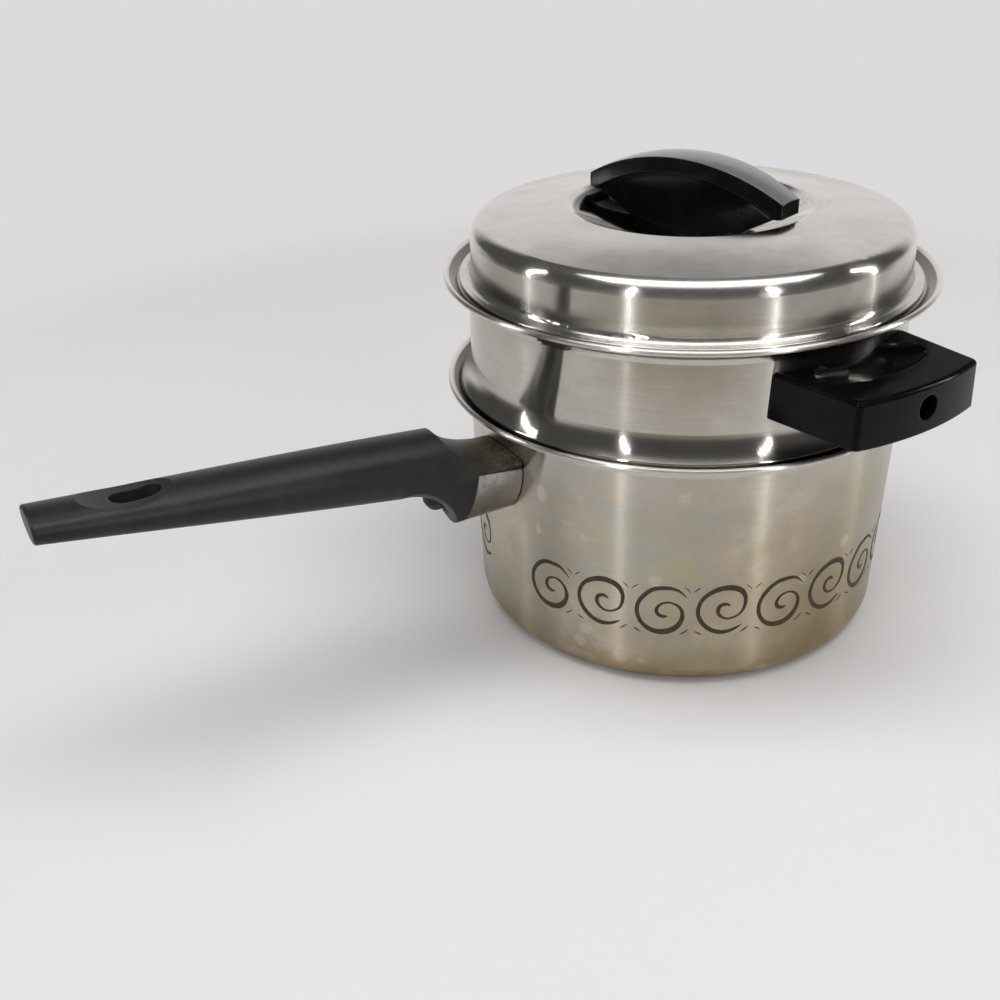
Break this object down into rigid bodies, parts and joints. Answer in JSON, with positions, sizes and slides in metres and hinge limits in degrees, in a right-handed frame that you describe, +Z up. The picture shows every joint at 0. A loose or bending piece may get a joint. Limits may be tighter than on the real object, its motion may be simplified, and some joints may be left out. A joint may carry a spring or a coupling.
{
  "type": "double boiler",
  "caption": "Stainless double boiler: saucepan with a long black handle, insert pan resting in its rim with a short side handle, and a flanged lid with a strap knob over a dish.",
  "frame": {"origin": "middle of the saucepan's flat base, on the pans' common axis", "axes": "+Z up along the pans' axis; the long handle points along -X"},
  "size_m": [0.3406, 0.206, 0.178],
  "materials": {
    "satin_steel": "satin, spun",
    "polished_steel": "polished",
    "black_phenolic": "moulded, semi-matte",
    "gloss_phenolic": "moulded, glossy",
    "brass": "plain",
    "zinc_steel": "zinc plated"
  },
  "bodies": {
    "saucepan": {"saucepan_body": "satin_steel", "handle_bracket": "zinc_steel", "flame_guard": "polished_steel", "handle_grip": "black_phenolic", "handle_screw": "zinc_steel", "handle_lock_washer": "zinc_steel"},
    "insert": {"insert_body": "satin_steel", "side_handle_bracket": "zinc_steel", "side_handle_grip": "gloss_phenolic", "side_handle_screw": "zinc_steel", "side_handle_washer": "zinc_steel"},
    "lid": {"lid_shell": "satin_steel", "lid_knob": "gloss_phenolic", "knob_insert": "brass", "lid_screw": "zinc_steel", "lid_washer": "zinc_steel"}
  },
  "joints": [
    {"name": "insert_lift", "type": "slide", "parent": "saucepan", "child": "insert", "axis": [0, 0, 1], "range_m": [0, 0.11]},
    {"name": "lid_lift", "type": "slide", "parent": "insert", "child": "lid", "axis": [0, 0, 1], "range_m": [0, 0.06]}
  ]
}
